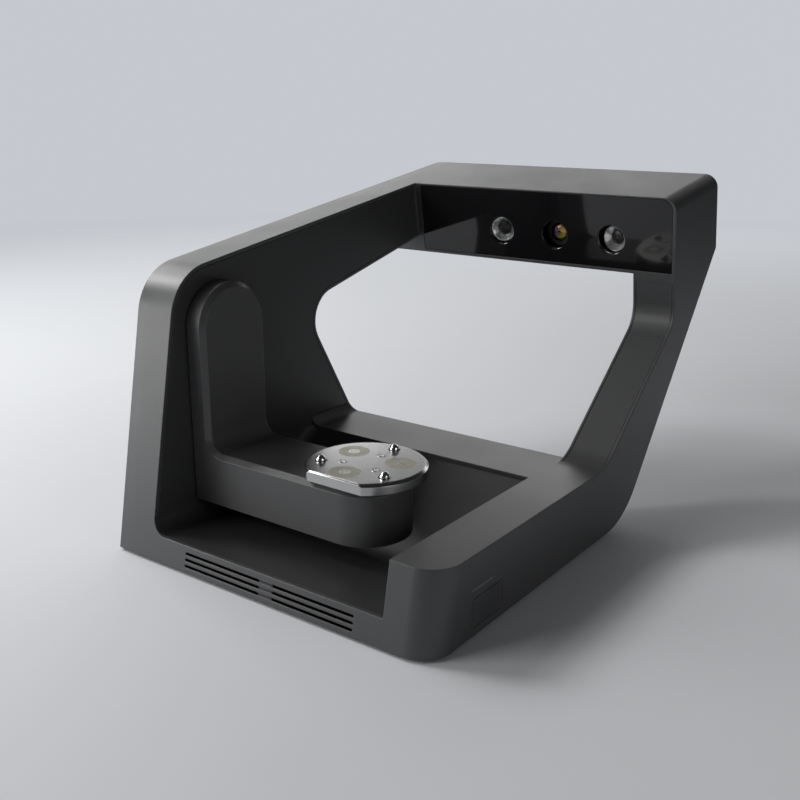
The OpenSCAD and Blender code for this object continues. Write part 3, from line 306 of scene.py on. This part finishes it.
# Places that the materials follow
FRONT_LEAN = math.radians(10.9)
HEAD_LEAN = math.radians(9)
FOOT_RISE = 2 * MM
joints = {j["name"]: j for j in frame["record"]["behaviour"]["joints"]}
table_at = tuple(joints["turntable_spin"]["pos_m"])
plate_lo, plate_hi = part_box("turntable_plate")
plate_top = plate_hi[2]


# Housing, with painted shade inside its vent slots
SLOT_SHADE_DEPTH = (0.06 * MM, 0.2 * MM, 3.5 * MM, 4 * MM)
SLOT_SHADE_ACROSS = (-122 * MM, -118 * MM, 105 * MM, 110 * MM)
SLOT_SHADE_HEIGHT = (20 * MM, 19 * MM)
HOUSING_GREY = (0.062, 0.063, 0.065)


def housing_plastic():
    s = moulded("housing", HOUSING_GREY, 0.38)
    s.edge_wear_and_sheen((0.16, 0.16, 0.165), 0.35)
    inward = (0, math.cos(FRONT_LEAN), -math.sin(FRONT_LEAN))
    behind = s.along((0, cad_lo[1], FOOT_RISE), inward)
    height = s.along((0, 0, 0), (0, 0, 1))
    across = s.along((0, 0, 0), (1, 0, 0))
    slot = s.math("MULTIPLY", s.within(behind, *SLOT_SHADE_DEPTH), s.span(height, *SLOT_SHADE_HEIGHT))
    slot = s.math("MULTIPLY", slot, s.within(across, *SLOT_SHADE_ACROSS))
    # Painted shade: the vent slots are made near black inside, behind the leaning front face, low down and
    # across the vents
    return s.tint(slot, (0.002, 0.002, 0.002), 1.0).rounded(0.9).done()


# Screws whose cross-shaped hollows are painted near white inside, as a painted highlight
HEAD_RISE = 0.3 * MM
RECESS_HIGHLIGHT_EDGE = (0.08 * MM, 0.2 * MM)


def crossed_screw(name, color, rough, top, recess_highlight):
    """Screw metal, and a painted highlight colour for what lies below the head's top face."""
    s = metal(name, color, rough, scale=1600)
    depth = s.along((0, 0, top), (0, 0, -1))
    # Painted highlight: below the head's top face the colour turns near white
    return s.tint(s.span(depth, *RECESS_HIGHLIGHT_EDGE), recess_highlight, 1.0).done()


# Glass, optics, balls, magnets, lights and boards
def black_glass():
    s = Shade("black_glass", (0.008, 0.008, 0.009), 0.05, spec=0.32)
    s.roughen(s.noise(scale=14, detail=4, rough=0.6), low=-0.02, high=0.05)
    s.bump(s.noise(scale=16, detail=2, rough=0.4), depth_mm=0.02, strength=0.15)
    specks = s.noise(scale=1700, detail=2, rough=0.7)
    s.tint(s.span(specks, start=0.72, end=0.8), (0.2, 0.2, 0.2), amount=0.06)
    return s.coat(weight=0.25, rough=0.02).done()


def camera_plastic():
    s = Shade("camera", (0.02, 0.02, 0.022), 0.35)
    s.bump(s.noise(scale=2200), depth_mm=0.006).vary(s.noise(scale=30), low=0.9, high=1.1)
    return s.roughen(s.noise(scale=40, detail=3), low=-0.05, high=0.05).done()


def bright_cone():
    s = Shade("bright_cone", (0.94, 0.94, 0.94), 0.27, metal=0.9)
    s.bump(s.noise(scale=1500, detail=3, rough=0.6, stretch=(1, 8, 1)), depth_mm=0.004)
    s.vary(s.noise(scale=200, detail=3), low=0.9, high=1.05)
    return s.roughen(s.noise(scale=300, detail=3), low=-0.04, high=0.08).done()


def ball_steel():
    s = Shade("ball", (0.86, 0.87, 0.88), 0.12, metal=1.0)
    s.bump(s.noise(scale=700, detail=3), depth_mm=0.002)
    s.vary(s.noise(scale=400, detail=3), low=0.95, high=1.03)
    return s.roughen(s.noise(scale=500, detail=3), low=-0.02, high=0.06).done()


def magnet_nickel():
    s = Shade("magnet", (0.46, 0.445, 0.36), 0.36, metal=0.8)
    s.bump(s.noise(scale=1700, detail=3, rough=0.6), depth_mm=0.006)
    s.vary(s.noise(scale=500, detail=3, rough=0.6), low=0.82, high=1.12)
    s.roughen(s.noise(scale=380, detail=3), low=-0.08, high=0.1)
    stains = s.span(s.noise(scale=120, detail=3), start=0.5, end=0.75)
    return s.tint(stains, (0.25, 0.24, 0.19), amount=0.35).done()


def unlit_window():
    s = Shade("light", (0.17, 0.173, 0.18), 0.28)
    s.bump(s.noise(scale=1500), depth_mm=0.004).vary(s.noise(scale=300), low=0.94, high=1.04)
    return s.roughen(s.noise(scale=100), low=-0.04, high=0.05).done()


def circuit_board():
    s = Shade("circuit_board", (0.01, 0.085, 0.035), 0.32)
    tracks = s.node("ShaderNodeTexBrick")
    tracks.inputs["Scale"].default_value = 400
    tracks.inputs["Mortar Size"].default_value = 0.03
    s.link(s.coords(), tracks.inputs["Vector"])
    s.tint(tracks.outputs["Fac"], (0.05, 0.2, 0.07), amount=0.6).bump(tracks.outputs["Fac"], depth_mm=0.02)
    return s.roughen(s.noise(scale=200), low=-0.04, high=0.06).done()


# Projector lens, whose coating reflections are painted as colours by the turn round its axis, and its
# highlight rings as greys by the radius
VIOLET = (0.20, 0.16, 0.60)
REFLECTION_COLOURS = [(0.0, VIOLET), (0.18, (0.35, 0.28, 0.16)), (0.34, (0.50, 0.56, 0.08)), (0.52, (0.95, 0.50, 0.07)),
           (0.76, (1.0, 0.60, 0.24)), (0.9, (0.75, 0.30, 0.42)), (1.0, VIOLET)]
HIGHLIGHT_RINGS = [(0.0, 0.0), (0.16, 0.02), (0.22, 0.9), (0.36, 0.25),
         (0.46, 1.0), (0.66, 0.55), (0.74, 0.12), (0.9, 0.03)]


def coated_lens():
    lo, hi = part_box("projector_lens")
    centre = [(a + b) / 2 for a, b in zip(lo, hi)]
    radius = (hi[0] - lo[0]) / 2
    s = Shade("coated_lens", (0.0, 0.0, 0.0), 0.10)
    right = s.along(centre, (1 / radius, 0, 0))
    up = s.along(centre, (0, -math.sin(HEAD_LEAN) / radius, math.cos(HEAD_LEAN) / radius))
    turn = s.math("MULTIPLY", s.math("ARCTAN2", up, right), 1 / math.tau)
    reflections = s.ramp(s.math("ADD", turn, 0.5), REFLECTION_COLOURS)
    rings = s.ramp(s.length(right, up), [(place, (grey, grey, grey)) for place, grey in HIGHLIGHT_RINGS])
    # Painted reflection and painted highlight rings make up the lens colour
    s.color = s.multiplied(reflections, rings)
    s.roughen(s.noise(scale=60), low=-0.02, high=0.03).bump(s.noise(scale=90), depth_mm=0.004, strength=0.2)
    return s.coat(weight=1.0, rough=0.02).done()


# The materials by slot name
mats = {
    "housing": housing_plastic(),
    "liner": moulded("liner", (0.036, 0.0365, 0.038), 0.40).done(),
    "arm": moulded("arm", (0.066, 0.0665, 0.068), 0.36).edge_wear_and_sheen((0.14, 0.14, 0.145), 0.3).done(),
    "black_plastic": moulded("black_plastic", (0.02, 0.0205, 0.022), 0.45).done(),
    "strut_panel": moulded("strut_panel", HOUSING_GREY, 0.38).done(),
    # The button's edges are painted near white in patches: a painted edge highlight
    "button": moulded("button", (0.050, 0.051, 0.053), 0.36).edge_wear_and_sheen((0.5, 0.5, 0.505), 0.9, 0.7).done(),
    "rubber": moulded("rubber", (0.015, 0.015, 0.015), 0.8, grain=0.03, spec=0.3, scale=900).done(),
    "cable": moulded("cable", (0.3, 0.31, 0.33), 0.5).done(),
    "motor": moulded("motor", (0.025, 0.026, 0.028), 0.35, grain=0.008).done(),
    "screw": metal("screw", (0.72, 0.73, 0.74), 0.22, scale=1500).done(),
    "steel": metal("steel", (0.5, 0.51, 0.52), 0.25, stretch=(1, 1, 12)).done(),
    "bench": metal("bench", (0.6, 0.61, 0.62), 0.38, stretch=(12, 1, 1)).done(),
    "brass": metal("brass", (0.62, 0.44, 0.17), 0.3).done(),
    "plate": turned("plate", (0.50, 0.50, 0.50), 0.27, table_at, pitch_mm=0.22).rounded(0.5).done(),
    # Both kinds of screw get near white crosses, a painted highlight
    "magnet_screw": crossed_screw("magnet_screw", (0.56, 0.55, 0.51), 0.24, plate_top, (0.95, 0.95, 0.90)),
    "plate_screw": crossed_screw("plate_screw", (0.40, 0.40, 0.40), 0.24, plate_top + HEAD_RISE,
                                 (0.95, 0.95, 0.95)),
    "black_glass": black_glass(),
    "camera": camera_plastic(),
    "bright_cone": bright_cone(),
    "ball": ball_steel(),
    "magnet": magnet_nickel(),
    "light": unlit_window(),
    "circuit_board": circuit_board(),
    "coated_lens": coated_lens(),
}


def paint(o, mat):
    o.data.materials.clear()
    o.data.materials.append(mat)


for part in frame["record"]["subparts"]:
    paint(nodes[part["node"]], mats[part["material_slot"]])
paint(nodes["strut_cover"], mats["strut_panel"])


# Mesh helpers
WELD = 0.0005 * MM
SHARP = math.radians(28)


def linked(name, mesh):
    o = bpy.data.objects.new(name, mesh)
    scene.collection.objects.link(o)
    return o


def welded(mesh):
    """A bmesh of a CAD mesh, its doubled points joined."""
    bm = bmesh.new()
    bm.from_mesh(mesh)
    bmesh.ops.remove_doubles(bm, verts=bm.verts, dist=WELD)
    return bm


def object_of(name, bm):
    """A linked object of a bmesh, which is freed."""
    mesh = bpy.data.meshes.new(name)
    bm.to_mesh(mesh)
    bm.free()
    return linked(name, mesh)


def combined(first, others, operation):
    """The mesh of the first object after an exact boolean with each of the others; all are removed."""
    for other in others:
        m = first.modifiers.new(other.name, "BOOLEAN")
        m.operation = operation
        m.solver = "EXACT"
        m.object = other
        m.use_self = operation == "DIFFERENCE"
    depsgraph = bpy.context.evaluated_depsgraph_get()
    mesh = bpy.data.meshes.new_from_object(first.evaluated_get(depsgraph))
    for o in (first, *others):
        bpy.data.objects.remove(o)
    return mesh


def cut(name, body, cutter):
    """An object of body less cutter, both bmeshes."""
    for bm in (body, cutter):
        bmesh.ops.recalc_face_normals(bm, faces=bm.faces)
    solids = object_of(name + "_body", body), object_of(name + "_cut", cutter)
    return linked(name, combined(solids[0], solids[1:], "DIFFERENCE"))


# Heads of the plate's screws, larger and prouder than the CAD's, with cross recesses
SCREWS = 3
SCREW_RING = 16.4 * MM
HEAD_R = 3.5 * MM
HEAD_SINK = 0.5 * MM
HEAD_SIDES = 48
HEAD_TAPER_SHARE = 0.94
RECESS_HALF_L = 2.3 * MM
RECESS_HALF_W = 0.5 * MM
RECESS_DEEP = 0.3 * MM


def prism(bm, outline, z0, z1, top_share=1.0):
    """Adds a prism over an outline, its top face scaled by top_share round the outline's centre."""
    centre = sum(outline, Vector((0, 0))) / len(outline)
    low = [bm.verts.new((*p, z0)) for p in outline]
    high = [bm.verts.new((*(centre + (p - centre) * top_share), z1)) for p in outline]
    bm.faces.new(low[::-1])
    bm.faces.new(high)
    for i in range(len(outline)):
        j = (i + 1) % len(outline)
        bm.faces.new((low[i], low[j], high[j], high[i]))


def spoke(turn):
    return Vector((math.cos(turn), math.sin(turn)))


heads, crosses = bmesh.new(), bmesh.new()
for k in range(SCREWS):
    at = Vector(table_at[:2]) + SCREW_RING * spoke(math.radians(90) + math.tau * k / SCREWS)
    rim = [at + HEAD_R * spoke(math.tau * i / HEAD_SIDES) for i in range(HEAD_SIDES)]
    prism(heads, rim, plate_top - HEAD_SINK, plate_top + HEAD_RISE, HEAD_TAPER_SHARE)
    for half_x, half_y in ((RECESS_HALF_L, RECESS_HALF_W), (RECESS_HALF_W, RECESS_HALF_L)):
        bar = [at + Vector((x * half_x, y * half_y)) for x, y in ((-1, -1), (1, -1), (1, 1), (-1, 1))]
        prism(crosses, bar, plate_top - RECESS_DEEP, plate_top + 2 * HEAD_RISE)
screws = cut("plate_screw_heads", heads, crosses)
paint(screws, mats["plate_screw"])
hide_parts("plate_screws")
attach(screws, "turntable")


# The plate, with its chamfer on the flat too
FLAT_CHAMFER = 1.0 * MM
OVER = 1.0 * MM
LEVEL = 0.9

wedge = bmesh.new()
ends = []
for x in (plate_lo[0] - OVER, plate_hi[0] + OVER):
    corners = ((-OVER, -FLAT_CHAMFER - OVER), (FLAT_CHAMFER + OVER, OVER), (-OVER, OVER))
    ends.append([wedge.verts.new((x, plate_lo[1] + y, plate_top + z)) for y, z in corners])
for i in range(3):
    j = (i + 1) % 3
    wedge.faces.new((ends[0][i], ends[0][j], ends[1][j], ends[1][i]))
for end in ends:
    wedge.faces.new(end)
plate = cut("plate_skin", welded(nodes["turntable_plate"].data), wedge)
# The normals stored with the CAD mesh don't fit the cut faces
if "custom_normal" in plate.data.attributes:
    plate.data.attributes.remove(plate.data.attributes["custom_normal"])
for f in plate.data.polygons:
    f.use_smooth = abs(f.normal.z) < LEVEL
plate.data.set_sharp_from_angle(angle=SHARP)
paint(plate, mats["plate"])
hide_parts("turntable_plate")
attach(plate, "turntable")


# The moulded housing as one piece, without the lines between its CAD shells
HOUSING = ("base_shell", "left_wall_shell", "right_strut_shell", "head_shell")
SLIVER = 0.06 * MM
FLAT_ENOUGH = math.radians(0.3)
FACE_WEIGHT = 100


def even_normals(o, keep_sharp):
    n = o.modifiers.new("smooth", "WEIGHTED_NORMAL")
    n.weight = FACE_WEIGHT
    n.keep_sharp = keep_sharp


def united(name, names):
    """One object of CAD pieces that meet."""
    shells = [object_of(name + "_" + n, welded(nodes[n].data)) for n in names]
    mesh = combined(shells[0], shells[1:], "UNION")
    bm = bmesh.new()
    bm.from_mesh(mesh)
    bmesh.ops.remove_doubles(bm, verts=bm.verts, dist=SLIVER)
    bmesh.ops.dissolve_degenerate(bm, edges=bm.edges, dist=SLIVER)
    bmesh.ops.dissolve_limit(bm, angle_limit=FLAT_ENOUGH, verts=bm.verts, edges=bm.edges)
    for f in bm.faces:
        f.smooth = True
    bm.to_mesh(mesh)
    bm.free()
    mesh.name = name
    mesh.set_sharp_from_angle(angle=SHARP)
    piece = linked(name, mesh)
    even_normals(piece, keep_sharp=True)
    return piece


housing = united("housing_skin", HOUSING)
paint(housing, mats["housing"])
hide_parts(*HOUSING)
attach(housing, "housing")


# Edges of the CAD pieces, rounded by a narrow bevel
BEVEL_MM = {"left_wall_liner": 0.4, "arm_shell": 0.25, "power_button": 0.3, "front_glass": 0.2}
BEVEL_STEPS = 3
BEVEL_FROM = math.radians(24)
POINT_MERGE = 0.002 * MM
FACE_MERGE = math.radians(0.4)


def soften(o, width_mm):
    weld = o.modifiers.new("weld", "WELD")
    weld.merge_threshold = POINT_MERGE
    flat = o.modifiers.new("flat", "DECIMATE")
    flat.decimate_type = "DISSOLVE"
    flat.angle_limit = FACE_MERGE
    bevel = o.modifiers.new("round", "BEVEL")
    bevel.width = width_mm * MM
    bevel.segments = BEVEL_STEPS
    bevel.limit_method = "ANGLE"
    bevel.angle_limit = BEVEL_FROM
    bevel.use_clamp_overlap = False
    bevel.miter_outer = "MITER_ARC"
    bevel.harden_normals = False
    even_normals(o, keep_sharp=False)


for name, width_mm in BEVEL_MM.items():
    soften(nodes[name], width_mm)


# Floor, which fades into the pale background
FLOOR_R = 4.0
FLOOR_SIDES = 96
FADE_FROM, FADE_TO = 0.55, 2.2


def floor_paper():
    s = Shade("floor_paper", (0.80, 0.815, 0.84), 0.85, spec=0.2)
    s.vary(s.noise(scale=3), low=0.985, high=1.015).bump(s.noise(scale=900), depth_mm=0.02, strength=0.3)
    far = s.length(s.along((0, 0, 0), (1, 0, 0)), s.along((0, 0, 0), (0, 1, 0)))
    s.link(s.span(far, FADE_FROM, FADE_TO, 1, 0), s.shader.inputs["Alpha"])
    return s.done()


disc = bmesh.new()
bmesh.ops.create_circle(disc, cap_ends=True, radius=FLOOR_R, segments=FLOOR_SIDES)
floor = object_of("floor", disc)
paint(floor, floor_paper())


# Background: pale where the camera sees it, also through clear pieces, and nearly dark as a light
PALE, PALE_STRENGTH = (0.56, 0.58, 0.62, 1), 1
FILL, FILL_STRENGTH = (0.80, 0.82, 0.86, 1), 0.03

world = bpy.data.worlds.new("studio")
scene.world = world
world.use_nodes = True
tree = world.node_tree
tree.nodes.clear()


def background(color, strength):
    n = tree.nodes.new("ShaderNodeBackground")
    n.inputs["Color"].default_value = color
    n.inputs["Strength"].default_value = strength
    return n.outputs[0]


ray = tree.nodes.new("ShaderNodeLightPath")
seen = tree.nodes.new("ShaderNodeMath")
seen.operation = "MAXIMUM"
mix = tree.nodes.new("ShaderNodeMixShader")
world_out = tree.nodes.new("ShaderNodeOutputWorld")
for source, socket in (
        (ray.outputs["Is Camera Ray"], seen.inputs[0]), (ray.outputs["Is Transmission Ray"], seen.inputs[1]),
        (seen.outputs[0], mix.inputs[0]), (background(FILL, FILL_STRENGTH), mix.inputs[1]),
        (background(PALE, PALE_STRENGTH), mix.inputs[2]), (mix.outputs[0], world_out.inputs[0])):
    tree.links.new(source, socket)


# Soft lamps by name: place and size in metres, power in watts
AIM = Vector((0, -0.05, 0.12))
LAMPS = {
    "back_low": ((-0.55, 2.0, 0.7), (1.6, 0.8), 7.5),
    "back_left": ((-1.6, 1.2, 1.0), (1.2, 1.0), 6.2),
    "left_high": ((-1.5, 0.0, 1.4), (1.0, 1.0), 13.5),
    "front_left": ((-1.1, -1.5, 1.0), (1.0, 1.0), 12.5),
    "front_left_low": ((-1.35, -1.2, 0.25), (1.0, 0.5), 8),
    "crown": ((-1.3, -0.44, 1.2), (0.4, 0.4), 8),
    "right_low": ((1.9, -0.5, 0.5), (1.0, 0.7), 5),
}
for name, (place, size, power) in LAMPS.items():
    light = bpy.data.lights.new(name, "AREA")
    light.shape = "RECTANGLE"
    light.size, light.size_y = size
    light.energy = power
    lamp = linked(name, light)
    lamp.location = place
    lamp.visible_camera = False
    lamp.rotation_mode = "QUATERNION"
    lamp.rotation_quaternion = (AIM - Vector(place)).to_track_quat("-Z", "Y")

scene.view_settings.view_transform = "Standard"
